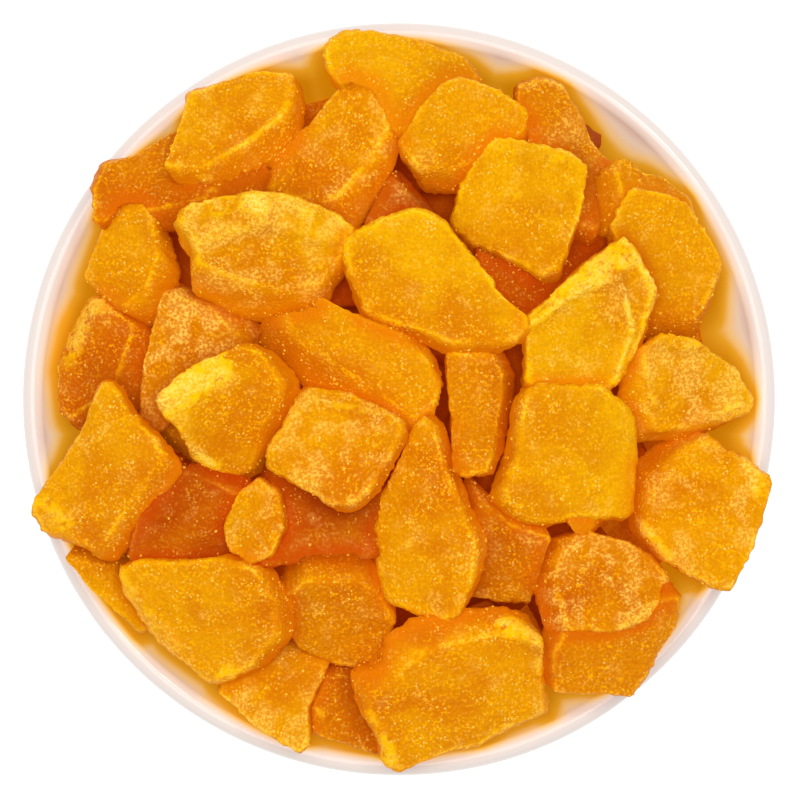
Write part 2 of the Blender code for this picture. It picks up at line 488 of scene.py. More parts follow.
@dataclass(frozen=True)
class PeachFinish:
    """Dried peach: translucent, sugared flesh, deeper on its cut sides, with painted light at its thin
    edges.

    Flesh and deep are the two ends of its colour, and deep also marks its cut sides and, as painted shade,
    the places next to a dice above. Edge is its paler colour where it is thin, painted light that shows
    through thin flesh, and glow is a painted glow that stands in for the light that comes through it. The
    share hollow is how far it is painted darker below other dice, a painted shade. The sizes of its
    patterns are in mm.
    """

    tone: Tone
    flesh: Colour
    deep: Colour
    edge: Colour
    # A painted glow, emitted, standing in for light that comes through the flesh
    glow: Colour
    sugar: Colour = (0.8, 0.43, 0.003)
    crust: Colour = (0.87, 0.6, 0.11)
    # How far the colour is painted darker below other dice: painted shade
    hollow: float = 0.15
    cloud_size: float = 11
    thin_size: float = 7
    streak_size: float = 6
    crust_size: float = 5
    dusting_size: float = 4
    crumb_size: float = 1.5
    crystal_size: float = 0.7
    grain_size: float = 0.6
    grain_height: float = 0.35 * MM

    def material(self) -> bpy.types.Material:
        """Builds the material.

        Returns:
            The material.
        """
        steady = {"IOR": 1.45, "Specular IOR Level": 0.12, "Specular Tint": (1.0, 0.5, 0.06)}
        s = Surface(f"dried_peach_{self.tone.value}", steady)
        shade, rim, sides_and_contacts, frost, ridge, covered = (
            s.attribute(name) for name in ("shade", "rim", "sides_and_contacts", "frost", "ridge", "covered")
        )
        cloud = s.noise(s.place, self.cloud_size, 2, 0.4).rise(0.3, 0.7)
        # Shade carries each dice's tone and its painted shading towards its cut side
        colour = s.mix((cloud - 0.5) * 0.8 + shade, self.flesh, self.deep)
        # Cut sides take the deep colour of their bare flesh; next to a dice above the same deepening is
        # painted shade
        colour = s.mix(sides_and_contacts * 0.85, colour, self.deep)
        fine, coarse = s.noise(s.place, self.grain_size), s.noise(s.place, self.crumb_size)
        # Thin edges and folds turn paler and yellower: painted light showing through thin flesh
        thinner = s.noise(s.place, self.thin_size, 1).rise(0.3, 0.55)
        thin = (rim * thinner * coarse.rise(0.2, 0.55)).rise(0.15, 0.9)
        colour = s.mix(thin * 0.85, colour, self.edge)

        bare = 1 - sides_and_contacts * 0.8
        dusting = s.noise(s.place, self.dusting_size, 2, 0.3).rise(0.35, 0.7)
        dark = fine.rise(0.5, 0.3) * 0.25 + coarse.rise(0.5, 0.3) * 0.15
        colour = s.mix(dark * bare, colour, scaled(self.deep, 0.85))
        broken = s.noise(s.place, self.crust_size, 1).rise(0.4, 0.65)
        line = ridge.rise(0.7, 0.1) * broken * fine.rise(0.3, 0.6)
        bright = fine.rise(0.5, 0.7) * (0.25 + 0.5 * dusting) + line * 0.75
        colour = s.mix(bright * bare, colour, self.sugar)
        cell = s.cells(self.crystal_size)
        lucky = s.node("ShaderNodeSeparateColor", None, {"Color": cell.also("Color")})
        crystal = cell.rise(0.5, 0.2) * lucky.rise(0.65, 1) * (0.15 + 0.85 * dusting) * bare
        colour = s.mix(crystal * 0.85, colour, self.crust)
        patch = (s.noise(s.place, self.crust_size, 2, 0.6) + 0.2 * frost + 0.15 * rim).rise(0.6, 0.8)
        patch *= (0.2 + 0.8 * fine.rise(0.42, 0.62)) * (0.1 + 0.9 * frost + rim.rise(0.7, 1.4))
        colour = s.mix(patch * bare * 0.6, colour, self.crust)
        # Painted shade below other dice
        colour = s.mix(covered * self.hollow, colour, scaled(self.deep, 0.6))

        s.paint(base_color=colour, roughness=0.5 - 0.2 * crystal)
        # The emission is a painted glow standing in for light through the flesh: weaker on pale and thin
        # spots, stronger on cut sides and next to a dice above
        glow = s.mix(cloud * 0.5 + thin * 0.5, self.glow, scaled(self.glow, 0.7))
        # More painted glow on cut sides and next to a dice above, lifting their shade
        glow = s.mix(sides_and_contacts, glow, scaled(self.glow, 1.4))
        # A painted glow along the edge of the top, lifting the rounded edge where it turns from the light
        streaks = s.noise(s.place, self.streak_size, 1).rise(0.4, 0.6)
        lit_edge = ridge.rise(1.8, 0.3) * (0.2 + 0.6 * streaks)
        brighter = tuple(c + e for c, e in zip(self.glow, scaled(self.edge, 0.15)))
        glow = s.mix(lit_edge, glow, brighter)
        # Less painted glow below other dice, also painted shade
        s.paint(emission_color=s.mix(covered, glow, scaled(self.glow, 0.5)))
        s.relief(crystal * 0.6 + fine * 0.8, self.grain_height, 0.8)
        return s.material


@dataclass(frozen=True)
class SugarFinish:
    """Grains of sugar that have taken up the fruit's colour, some of them still pale, with a painted glow.
    """

    stained: Colour = (0.62, 0.32, 0.01)
    pale: Colour = (0.78, 0.5, 0.07)
    glow: Colour = (0.24, 0.1, 0.004)

    def material(self) -> bpy.types.Material:
        """Builds the material.

        Returns:
            The material.
        """
        steady = {
            "Roughness": 0.5,
            "IOR": 1.5,
            "Specular IOR Level": 0.3,
            "Specular Tint": (1.0, 0.75, 0.35),
            # A painted glow that lifts the grains' shaded sides
            "Emission Color": self.glow,
        }
        s = Surface("sugar", steady)
        s.paint(base_color=s.mix(s.attribute("tint") ** 3, self.stained, self.pale))
        return s.material


@dataclass(frozen=True)
class GlazeFinish:
    """White glaze, its inner wall painted with the fruit's reflected colour and glow the nearer it is to
    it.

    Its colour stops run from its own white far off to a painted reflection of the fruit where it touches,
    and carried is a painted glow, faint all over the bowl and the fruit's colour where it touches. The
    sizes of its unevenness are in mm.
    """

    # From the glaze's own white far off to a painted reflection of the fruit where it touches
    tints: tuple[tuple[float, Colour], ...] = (
        (0.0, (0.57, 0.5, 0.46)),
        (0.06, (0.56, 0.47, 0.41)),
        (0.25, (0.46, 0.38, 0.29)),
        (0.45, (0.45, 0.31, 0.13)),
        (0.65, (0.5, 0.28, 0.02)),
        (1.0, (0.46, 0.2, 0.001)),
    )
    # A painted glow: faint all over the bowl to lift its shade, and the fruit's colour near it
    carried: tuple[tuple[float, Colour], ...] = (
        (0.0, (0.17, 0.16, 0.15)),
        (0.06, (0.2, 0.18, 0.16)),
        (0.15, (0.34, 0.29, 0.25)),
        (0.25, (0.46, 0.37, 0.27)),
        (0.45, (0.56, 0.37, 0.13)),
        (0.65, (0.47, 0.23, 0.01)),
        (1.0, (0.36, 0.15, 0.001)),
    )
    cloud_size: float = 12
    wave_size: float = 14
    wave_height: float = 0.12 * MM

    def material(self) -> bpy.types.Material:
        """Builds the material.

        Returns:
            The material.
        """
        steady = {
            "Roughness": 0.15,
            "IOR": 1.5,
            "Specular IOR Level": 0.25,
            "Coat Weight": 0.1,
            "Coat Roughness": 0.05,
        }
        s = Surface("white_glaze", steady)
        # Nearer the fruit the inner wall is painted with its reflected colour and glow
        near = {"Fac": s.attribute("glow") * (0.94 + 0.12 * s.noise(s.place, self.cloud_size, 1))}
        s.paint(
            base_color=s.node("ShaderNodeValToRGB", {"stops": self.tints}, near),
            emission_color=s.node("ShaderNodeValToRGB", {"stops": self.carried}, near),
        )
        s.relief(s.noise(s.place, self.wave_size, 1), self.wave_height, 0.5)
        return s.material


@dataclass(frozen=True)
class FloorFinish:
    """A plain pale studio floor."""

    white: Colour = (0.93, 0.93, 0.93)
    lit: Colour = (0.2, 0.2, 0.2)
    cloud_size: float = 90

    def material(self) -> bpy.types.Material:
        """Builds the material.

        Returns:
            The material.
        """
        steady = {"Roughness": 0.9, "Specular IOR Level": 0.1, "Emission Color": self.lit}
        s = Surface("studio_floor", steady)
        clouds = s.noise(s.place, self.cloud_size) * 0.5
        s.paint(base_color=s.mix(clouds, self.white, scaled(self.white, 0.99)))
        return s.material


# Each tone has flesh, deep and edge colours and a painted glow; the russet one is painted darker below
# other dice
FINISHES = {
    Tone.GOLD: PeachFinish(
        Tone.GOLD, (0.54, 0.285, 0.001), (0.44, 0.135, 0.001), (0.77, 0.5, 0.002), (0.22, 0.05, 0.0)
    ),
    Tone.AMBER: PeachFinish(
        Tone.AMBER, (0.515, 0.235, 0.001), (0.43, 0.11, 0.001), (0.75, 0.44, 0.002), (0.22, 0.042, 0.0)
    ),
    Tone.ORANGE: PeachFinish(
        Tone.ORANGE, (0.45, 0.162, 0.001), (0.36, 0.07, 0.001), (0.65, 0.34, 0.002), (0.21, 0.032, 0.0)
    ),
    Tone.RUSSET: PeachFinish(
        Tone.RUSSET,
        (0.41, 0.12, 0.001),
        (0.33, 0.043, 0.001),
        (0.6, 0.24, 0.002),
        (0.14, 0.01, 0.0),
        sugar=(0.6, 0.24, 0.01),
        crust=(0.75, 0.42, 0.09),
        hollow=0.5,
    ),
}
PALE_SUGAR = SugarFinish()
# Sugar on the deeper dice: deeper grains with a dimmer painted glow
DEEP_SUGAR = SugarFinish((0.5, 0.2, 0.01), (0.72, 0.42, 0.06), (0.16, 0.05, 0.002))


# Bowl


@dataclass
class Bowl:
    """The white bowl on its foot ring. Lengths are in metres.

    Its inner wall is painted with the dice's reflected light: strongly within glow_reach of them, and more
    weakly over glow_spread from glow_depth inwards.
    """

    rim_radius: float = 75.5 * MM
    height: float = 62 * MM
    lip: float = 4.2 * MM
    floor: float = 9 * MM
    foot_radius: float = 34 * MM
    foot_width: float = 5 * MM
    foot_height: float = 4 * MM
    inside_curve: float = 2.7
    outside_curve: float = 1.75
    turns: int = 240
    inside_rings: int = 44
    inside_crowding: float = 0.6
    outside_rings: int = 26
    outside_crowding: float = 1.6
    lip_step: int = 12
    foot_edge: float = 0.5 * MM
    sharp_angle: float = math.radians(50)
    glow_reach: float = 2.6 * MM
    glow_spread: float = 5.2 * MM
    glow_depth: float = 6 * MM

    @property
    def inner(self) -> float:
        """Radius of the inner wall where it meets the lip."""
        return self.rim_radius - self.lip

    def inside_height(self, radius: Any) -> Any:
        """Height of the inner wall at a distance from the axis, or at an array of them."""
        share = np.clip(radius / self.inner, 0, 1)
        return self.floor + (self.height - self.lip / 2 - self.floor) * share**self.inside_curve

    def outside_radius(self, height: float) -> float:
        """Radius of the outer wall at a height above the ground, from the foot to the lip."""
        share = (height - self.foot_height) / (self.height - self.lip / 2 - self.foot_height)
        return self.foot_radius + (self.rim_radius - self.foot_radius) * share ** (1 / self.outside_curve)

    def profile(self) -> list[Place]:
        """The wall's section.

        Returns:
            Radius and height of each point, from the middle of the inner floor to the middle underneath.
        """
        shares = np.linspace(0, 1, self.inside_rings) ** self.inside_crowding
        inside = [(r, self.inside_height(r)) for r in self.inner * shares]
        radius, height, half = self.rim_radius - self.lip / 2, self.height - self.lip / 2, self.lip / 2
        turns = np.radians(np.arange(180 - self.lip_step, -1, -self.lip_step))
        lip = [(radius + half * math.cos(a), height + half * math.sin(a)) for a in turns]
        shares = np.linspace(1, 0, self.outside_rings)[1:] ** self.outside_crowding
        rise = self.height - self.lip - self.foot_height
        outside = [(self.outside_radius(z), z) for z in self.foot_height + rise * shares]
        ring, edge = self.foot_radius - self.foot_width, self.foot_edge
        foot = [(self.foot_radius, edge), (self.foot_radius - edge, 0), (ring + edge, 0), (ring, edge)]
        under = [(ring - self.foot_height / 4, self.foot_height / 2), (0, self.foot_height / 2)]
        return inside + lip + outside + foot + under

    def build(self, outlines: Sequence[Outline]) -> bpy.types.Object:
        """Turns and glazes the bowl.

        Args:
            outlines: The dice whose reflected light is painted on the inner wall.

        Returns:
            The piece.
        """
        bowl = turned("white_bowl", self.profile(), self.turns)
        bowl.data.set_sharp_from_angle(angle=self.sharp_angle)
        places = np.array([point.co for point in bowl.data.vertices])
        # How near the inner wall is to the dice, which sets its painted reflection and glow
        away = np.min([outline.away(places[:, :2]) for outline in outlines], axis=0)
        radius = np.hypot(places[:, 0], places[:, 1])
        inwards = self.rim_radius - self.lip / 2 - radius
        near = np.exp(-((away / self.glow_reach) ** 1.5)) * np.clip(inwards / (self.lip / 2), 0, 1)
        spread = 0.35 + 0.65 * np.exp(-((away / self.glow_spread) ** 2))
        deep = np.clip(inwards / self.glow_depth, 0, 1) * spread
        inside = places[:, 2] > self.inside_height(radius) - MM
        glow = bowl.data.attributes.new("glow", "FLOAT", "POINT")
        glow.data.foreach_set("value", inside * (1 - (1 - near) * (1 - deep)))
        bowl.data.materials.append(GlazeFinish().material())
        return bowl


# Heap


class Fold(NamedTuple):
    """A raised fold on the top of a dice from one place to another, or a lump where both are one, in mm."""

    x: float
    y: float
    to_x: float
    to_y: float
    height: float = 1.2
    width: float = 1.5
    bright: float = 0.8

    def raised(self, spots: np.ndarray) -> np.ndarray:
        """How much of the fold's height each place has.

        Args:
            spots: Rows of x and y in metres.

        Returns:
            Numbers from 0 to 1.
        """
        start = np.array((self.x, self.y)) * MM
        along = np.array((self.to_x, self.to_y)) * MM - start
        share = np.clip((spots - start) @ along / max(along @ along, 1e-12), 0, 1)
        away = np.linalg.norm(spots - start - np.outer(share, along), axis=1)
        return np.exp(-((away / (self.width * MM)) ** 2))


class Dice(NamedTuple):
    """One dice as it lies, seen from above.

    Its corners are in mm, anticlockwise. Shade takes it from its tone's lighter colour to the deeper one,
    and frost is how much sugar has crusted on it. Side is the way, in degrees, that the cut side which
    shows faces, towards which its colour is painted deeper as painted shading, and lean is how wide that
    side looks from above, in mm. Folds stand up from its top.
    """

    corners: tuple[Place, ...]
    tone: Tone = Tone.RUSSET
    shade: float = 0.5
    frost: float = 0.3
    side: float = 0
    lean: float = 2
    folds: tuple[Fold, ...] = ()

    def outline(self) -> Outline:
        """Its outline in metres."""
        return Outline(np.array(self.corners) * MM)


def block(x: float, y: float, length: float, width: float, turn: float) -> tuple[Place, ...]:
    """The corners of a plain block, a little narrower at its far end.

    Args:
        x: Where its middle is, in mm.
        y: Where its middle is, in mm.
        length: Its length in mm.
        width: Its width in mm.
        turn: Which way its length points, in degrees.

    Returns:
        The corners, anticlockwise.
    """
    along, across = ways(np.radians([turn, turn + 90])) * ((length / 2,), (width / 2,))
    corners = [-along - across, along - 0.8 * across, along + 0.8 * across, across - along]
    return tuple((x + dx, y + dy) for dx, dy in corners)


# The dice that show, from the lowest to the highest
SHOWN = (
    Dice(((16, 12), (41, 12), (43, 34), (38, 44), (28, 40), (15, 30)), Tone.RUSSET, 1.2, 0.1),
    Dice(((-9, 30), (12, 31), (7, 37.5), (-0.5, 45.5), (-4, 40)), Tone.RUSSET, -0.1, 0.9, 60),
    Dice(((-29, -33), (-4, -31), (-3, -15), (-10, -11), (-27, -12)), Tone.RUSSET, 0.3, 0.6, 180),
    Dice(((-54, -33), (-31, -33), (-29, -16), (-41, -10), (-50, -15)), Tone.RUSSET, 0.65, 0.4, 90, 4),
    Dice(((-65, -29), (-61, -36), (-52, -47), (-46, -44), (-54, -29)), Tone.GOLD, 0.4, 0.3, 60, 4),
    Dice(((-49, -6), (-41, -13.5), (-37, -11), (-42, -2), (-47, -3)), Tone.GOLD, 0.8, 0.6, 240),
    Dice(((33, -24), (35, -26.5), (38, -27), (41, -24), (40, -20), (33, -20)), Tone.AMBER, 0.6, 0.3),
    Dice(
        ((22, 34), (38, 30), (42, 45), (38, 50), (35, 57), (32.5, 62.5), (28, 64), (23, 62)),
        Tone.ORANGE, 0.4, 0.5, 250, 3,
    ),
    Dice(
        ((-58, 33), (-30, 33), (-24, 45), (-43, 51.5), (-49, 49), (-53, 47.5), (-58.5, 47.5),
         (-60.5, 42)),
        Tone.ORANGE, 0.85, 0.15, 320, 9,
    ),
    Dice(
        ((-17, -66.5), (-4, -70), (0, -60), (-8, -51), (-13, -52), (-17, -60)),
        Tone.ORANGE, 0.8, 0.3, 60, 4, (Fold(-16, -61, -15.5, -62),),
    ),
    Dice(
        ((39, 32), (60, 32), (57.5, 40), (50, 43.5), (45.5, 43.5), (40.5, 46.5), (37.5, 44)),
        Tone.GOLD, 1.0, 0.3, 200, 6,
    ),
    Dice(
        ((12, -38), (26, -40.5), (27.5, -33), (29, -25), (20, -21), (13, -14)),
        Tone.ORANGE, 0.45, 0.5, 120, 5,
    ),
    Dice(
        ((29, -56.5), (40, -57.5), (46, -59), (50, -51), (53.5, -43.5), (54, -36), (31, -36), (28, -47)),
        Tone.ORANGE, 0.15, 0.3, 120, 5,
    ),
    Dice(
        ((-36, -58), (-27, -65.5), (-19.5, -69.8), (-17.3, -67), (-17.5, -61), (-13, -51), (-20, -47),
         (-33, -50)),
        Tone.GOLD, 0.9, 0.7, 60, 2,
    ),
    Dice(
        ((47, 12), (58, 11), (61.5, 18), (63.5, 25), (61, 31), (56.5, 38.5), (50, 40.5), (45, 41),
         (41, 32)),
        Tone.AMBER, 0.05, 0.3, 260, 5,
    ),
    Dice(
        ((-55, 17), (-50, 14.5), (-45, 17), (-43, 25), (-46, 34), (-50, 39.3), (-54, 39.3), (-58.5, 33),
         (-61.5, 23)),
        Tone.AMBER, 0.2, 0.15, 320, 6,
    ),
    Dice(
        ((-62, -7), (-50, -2), (-47, 12), (-55, 17.5), (-58, 20.3), (-61.5, 20), (-65.5, 14), (-67.5, 6),
         (-66, -3)),
        Tone.ORANGE, 1.2, 0.3, 330, 7, (Fold(-66, 9, -60, 19, 0.5, 3, 1),),
    ),
    Dice(
        ((-52, -7), (-47, -7), (-40, 0), (-27.5, 9), (-27, 14), (-34, 20.5), (-41, 22.3), (-44.5, 23.5),
         (-50, 7)),
        Tone.ORANGE, 0.15, 1.1, 40, 4, (Fold(-43, 22, -43, 22, 0.8, 1.6, 0.8),),
    ),
    Dice(
        ((-28, 10), (-18, 2), (0, -8), (5, -4.3), (8.5, 3), (6.3, 9), (1.5, 13.5), (-7, 15.3),
         (-16, 17.8), (-26, 17.8)),
        Tone.AMBER, 0.7, 0.2, 225, 7,
    ),
    Dice(
        ((43, 0), (46, -8.5), (55, -8), (62, -6.3), (69, -3), (70.3, 0), (67, 5.5), (62, 9), (58, 11),
         (50, 12), (45, 8.5)),
        Tone.GOLD, 0.6, 0.8, 215, 5,
        (Fold(48, 8, 50, -1, 1.2, 1.4, 0.6), Fold(60, -4, 67, -1.5), Fold(50, 11, 58, 10.5)),
    ),
    Dice(
        ((-13, 62), (-1, 50), (6, 50), (17, 57), (16.8, 62), (13.5, 66.3), (4, 70.8), (-4, 72.3),
         (-9.5, 73), (-13.5, 71), (-15, 68)),
        Tone.GOLD, 0.55, 0.2, 300, 3,
    ),
    Dice(
        ((-28.5, -32), (-24, -30.5), (-21.3, -25), (-22.5, -18), (-27, -15), (-31.5, -18.5),
         (-34.7, -25), (-33, -30)),
        Tone.AMBER, 0.25, 0.6, 0, 1,
    ),
    Dice(
        ((-9.8, -53), (-8.2, -60), (-4.5, -66), (-3.3, -71), (-0.5, -73), (5, -70.5), (10, -68.7),
         (16, -68.7), (21.5, -65), (27, -62.7), (29.5, -63), (28, -54), (29.7, -48.7), (24, -42),
         (14, -41), (3, -43), (-2, -46), (-4.5, -51)),
        Tone.AMBER, 0.45, 0.3, 120, 6,
        (
            Fold(20, -43, 28, -48, 1.4, 1.8, 1.4), Fold(28, -48, 27, -61, 1, 1.3, 1),
            Fold(-3, -66, -2, -71, 1, 2, 1.2),
        ),
    ),
    Dice(
        ((-20, -48), (-14, -52), (-8, -53.7), (-3.5, -53), (-1.7, -46), (-0.7, -41), (-4, -33),
         (-8, -29.3), (-19, -29.7), (-23.5, -35), (-22.5, -43)),
        Tone.ORANGE, 0.0, 0.3, 90, 6,
    ),
    Dice(
        ((29, -46), (40, -45.7), (48, -43.7), (52, -40), (53, -35), (49.5, -31), (44, -28), (36, -26.3),
         (29, -28), (26, -36)),
        Tone.ORANGE, 0.3, 0.8, 190, 4, (Fold(44, -44, 50, -40, 0.8, 1.6, 0.8),),
    ),
    Dice(
        ((5, 41.5), (12, 41), (22, 45), (26.7, 51), (26, 55), (20, 60), (12, 63.7), (8, 62), (4, 56),
         (0.3, 48)),
        Tone.AMBER, 0.1, 0.3, 290, 4,
    ),
    Dice(
        ((-9, 31.3), (-2, 43), (0.3, 50), (-2, 57), (-5, 62), (-9, 63.3), (-12, 61.7), (-17, 53.5),
         (-27, 45), (-27, 38), (-18, 32)),
        Tone.AMBER, 0.65, 0.5, 290, 8,
    ),
    Dice(
        ((-43.7, 42.3), (-35, 40.8), (-27, 45), (-20, 51), (-18.7, 57), (-19.7, 63), (-27, 64.3),
         (-35, 62.7), (-41.5, 60.7)),
        Tone.GOLD, 1.0, 0.4, 305, 6,
        (Fold(-42.5, 44, -40.5, 59, 0.5, 1.2, 0.5), Fold(-42, 43.5, -36, 43, 0.4, 1.2, 0.6)),
    ),
    Dice(
        ((-40.5, 21), (-33, 17), (-26, 14.8), (-16, 16.8), (-10.5, 25), (-8.3, 32), (-13, 36),
         (-21, 39.7), (-28, 40.3), (-36, 38.3), (-42, 36.3), (-44, 32), (-40.5, 27)),
        Tone.GOLD, 0.6, 0.75, 262, 6.5,
        (
            Fold(-41, 34, -40, 35, 1.8, 2.2, 0.4), Fold(-35, 36, -34, 36.5, 1.6, 2.0, 0.7),
            Fold(-28.5, 38, -27, 37.5, 2.4, 2.4, 1.6), Fold(-20, 37, -17, 36, 1.6, 2.2, 0.6),
            Fold(-38, 31, -26, 34, 1.2, 2.0, 0.5), Fold(-26, 34, -12, 31, 1.2, 2.0, 0.4),
        ),
    ),
    Dice(
        ((10, 33.5), (14, 29), (20.5, 26), (28, 22), (31.3, 23.5), (35.3, 36), (36.5, 44), (34, 47.7),
         (26, 50), (19, 51.7), (15.3, 48), (12, 41)),
        Tone.GOLD, 0.3, 0.3, 270, 2, (Fold(17, 50, 33, 46, 0.5, 1.4, 0.6),),
    ),
    Dice(
        ((-7, 14.7), (-2, 13), (5, 10.8), (10, 8.5), (20, 9.2), (25.3, 11.7), (25.5, 15.7), (20.5, 18),
         (14, 28), (8, 35.7), (3, 37.3), (-3, 35.3), (-10.5, 31.5), (-11.3, 27), (-9, 20)),
        Tone.GOLD, 0.45, 0.3, 250, 2,
    ),
    Dice(
        ((24.5, 2.5), (30, 1.7), (41, 1.2), (45.3, 5), (48.3, 12), (50.7, 20.5), (47, 28.3), (44, 31.3),
         (36, 26.3), (30, 20.5), (24.3, 15.7)),
        Tone.GOLD, 0.1, 0.5, 0, 1,
        (
            Fold(25.5, 14.5, 36, 21.5, 1.2, 0.9, 1.2), Fold(36, 21.5, 43, 23.5, 1.2, 0.9, 1.2),
            Fold(43, 23.5, 45.5, 13, 1.5, 0.8, 1.3), Fold(45.5, 13, 42, 3, 1.4, 0.9, 1.2),
            Fold(49.5, 21, 46.5, 9, 0.9, 0.8, 0.9), Fold(44, 31, 50, 22, 0.9, 1, 1.4),
            Fold(31, 20, 43, 27, 0.2, 3.2, 1),
        ),
    ),
    Dice(
        ((-40, -11.7), (-36, -14.7), (-31, -15.8), (-26, -13.7), (-24, -7), (-19.3, 1), (-20, 4),
         (-24, 8.7), (-28, 10.7), (-36, 8), (-42, 5), (-47.2, 0), (-46, -3.3), (-42.5, -6)),
        Tone.GOLD, 0.75, 0.3, 350, 3,
        (Fold(-45, 0, -36, 6, 0.6, 3.4, 2), Fold(-42, -8, -36, -13, 0.6, 2, 1.2)),
    ),
    Dice(
        ((10.5, -13.7), (13, -15), (18.5, -14.3), (20.3, -10), (22.7, 0), (22.7, 5), (20.5, 9), (9, 9.3),
         (9.3, 4), (10.3, -3)),
        Tone.ORANGE, 0.0, 0.2, 0, 2.5,
    ),
    Dice(
        ((-25.3, -13.5), (-17, -18.5), (-12, -21.7), (-8, -21.3), (-4, -18), (1.7, -8), (1.2, -5),
         (-3, -1.7), (-10, 1.2), (-17, 2.5), (-20, 1.2), (-23, -6), (-25.7, -10.5)),
        Tone.AMBER, 0.4, 0.7, 315, 1.5,
        (
            Fold(-24, -10, -18, 0.5, 0.9, 1.3, 0.5), Fold(-18, 0.5, -3, -3, 0.9, 1.3, 0.6),
            Fold(0, -6, -6, -18, 0.8, 1.3, 0.3), Fold(-8, -20, -24, -12, 0.7, 1.3, 0.3),
        ),
    ),
    Dice(
        ((-3, -39.3), (2, -41.7), (9, -43.3), (12, -42), (15.7, -36), (17.2, -28), (14, -20),
         (10.7, -13), (9, -6), (6.5, -2.7), (4.3, -4.5), (0, -13), (-5.8, -24.5), (-4.7, -32)),
        Tone.AMBER, 0.3, 0.4, 20, 2,
    ),
    Dice(
        ((18.5, -21), (22.5, -24.5), (28, -25.3), (34, -23.5), (45.8, -23.7), (47, -6), (45, -1.7),
         (39, 2.7), (25, 2.8), (22.3, 0), (20.7, -12), (17.5, -18.5)),
        Tone.GOLD, 0.4, 0.3, 195, 2.5,
    ),
    Dice(
        ((46.3, -26), (51, -31.3), (59, -35.3), (61, -37), (65, -37.7), (69.7, -26.5), (73, -16),
         (67, -11.3), (59, -6.3), (54, -8), (46.3, -13)),
        Tone.AMBER, 0.15, 0.7, 150, 4,
        (Fold(48, -25, 53, -31, 0.8, 1.4, 1), Fold(68, -13, 70, -17, 0.8, 2.2, 1)),
    ),
    Dice(
        ((-60, -30.3), (-57, -32.3), (-54, -30), (-49.3, -23), (-41.7, -13.5), (-45, -9), (-52, -2),
         (-55, 3), (-58.5, 3.7), (-62, -7), (-71, -19), (-71.7, -22), (-69, -26.7)),
        Tone.AMBER, 0.3, 0.35, 325, 4, (Fold(-70, -21, -66, -24, 0.5, 3.0, 0.9),),
    ),
    Dice(
        ((-36, -56.3), (-27, -53.3), (-20.7, -46), (-20.7, -40), (-25, -33), (-33, -30.7), (-42, -31.7),
         (-50, -31.3), (-55.3, -33.3), (-54.5, -38), (-46, -49)),
        Tone.AMBER, 0.2, 0.3, 0, 3,
        (Fold(-55, -34, -44, -49, 0.7, 1.4, 0.7), Fold(-35, -54, -33, -54, 0.8, 2, 1)),
    ),
)


class Laid(NamedTuple):
    """A dice where it has come to rest, in metres."""

    dice: Dice
    outline: Outline
    thickness: float
    height: float
    slope: np.ndarray


class Ground:
    """What lies under the next dice, over a square grid: the bowl, and the heap so far."""

    def __init__(self, bowl: Bowl, core: Any, cell: float, reach: float, gap: float) -> None:
        """Starts with the bowl and the heap's core.

        Args:
            bowl: The bowl.
            core: Gives the core's height for an array of distances from the axis.
            cell: The grid's step.
            reach: How far it runs from the middle.
            gap: How far the dice stay clear of the bowl.
        """
        self.cell, self.gap = cell, gap
        side = np.arange(-reach, reach, cell) + cell / 2
        self.places = np.stack(np.meshgrid(side, side, indexing="ij"), axis=-1).reshape(-1, 2)
        radius = np.linalg.norm(self.places, axis=1)
        half = bowl.lip / 2
        from_lip = np.clip(radius - bowl.rim_radius + half, -half, half)
        over_lip = bowl.height - half + np.sqrt(half**2 - from_lip**2)
        self.bowl = np.where(radius < bowl.inner, bowl.inside_height(radius), over_lip)
        self.bowl[radius > bowl.rim_radius] = 0
        self.heap = np.maximum(self.bowl, core(radius))

    def settle(
        self, outline: Outline, thickness: float, ceiling: float, heap: "Heap"
    ) -> tuple[float, np.ndarray]:
        """Lays a dice down.

        Args:
            outline: Its outline.
            thickness: How thick it is.
            ceiling: How high its middle may reach.
            heap: Says how steep it may lie and how it bears on what is under it.

        Returns:
            The height of its middle, and its slopes along x and along y.
        """
        cells = outline.holds(self.places)
        offset = self.places[cells] - outline.middle
        fit = np.column_stack((offset, np.ones(len(offset))))
        over = self.bowl[cells] > 0
        slope = np.linalg.lstsq(fit[over], self.heap[cells][over], rcond=None)[0][:2]
        slope /= max(1, np.linalg.norm(slope) / heap.steepest)
        rise = offset @ slope
        bottom = np.quantile(self.heap[cells] - rise, heap.bearing) - heap.sink
        bottom = min(bottom, ceiling - thickness)
        bottom = max(bottom, (self.bowl[cells] - rise).max() + self.gap)
        self.heap[cells] = np.maximum(self.heap[cells], bottom + rise + thickness)
        return bottom + thickness / 2, slope


class SkinGrid:
    """Points over a box from -1 to 1, and the faces between them."""

    def __init__(self, across: int, up: int) -> None:
        """Lays the grid out.

        Args:
            across: Steps along each horizontal side.
            up: Steps from the bottom to the top.
        """
        steps = (across, across, up)
        corners = []
        for axis in range(3):
            u, v = [a for a in range(3) if a != axis]
            for end in (0, steps[axis]):
                for i in range(steps[u]):
                    for j in range(steps[v]):
                        quad = np.zeros((4, 3), dtype=int)
                        quad[:, axis] = end
                        quad[:, u] = (i, i + 1, i + 1, i)
                        quad[:, v] = (j, j, j + 1, j + 1)
                        corners.append(quad if (end > 0) == (axis != 1) else quad[::-1])
        flat = np.array(corners).reshape(-1, 3)
        points, index = np.unique(flat, axis=0, return_inverse=True)
        self.points = points / steps * 2.0 - 1.0
        self.faces = index.reshape(-1, 4)


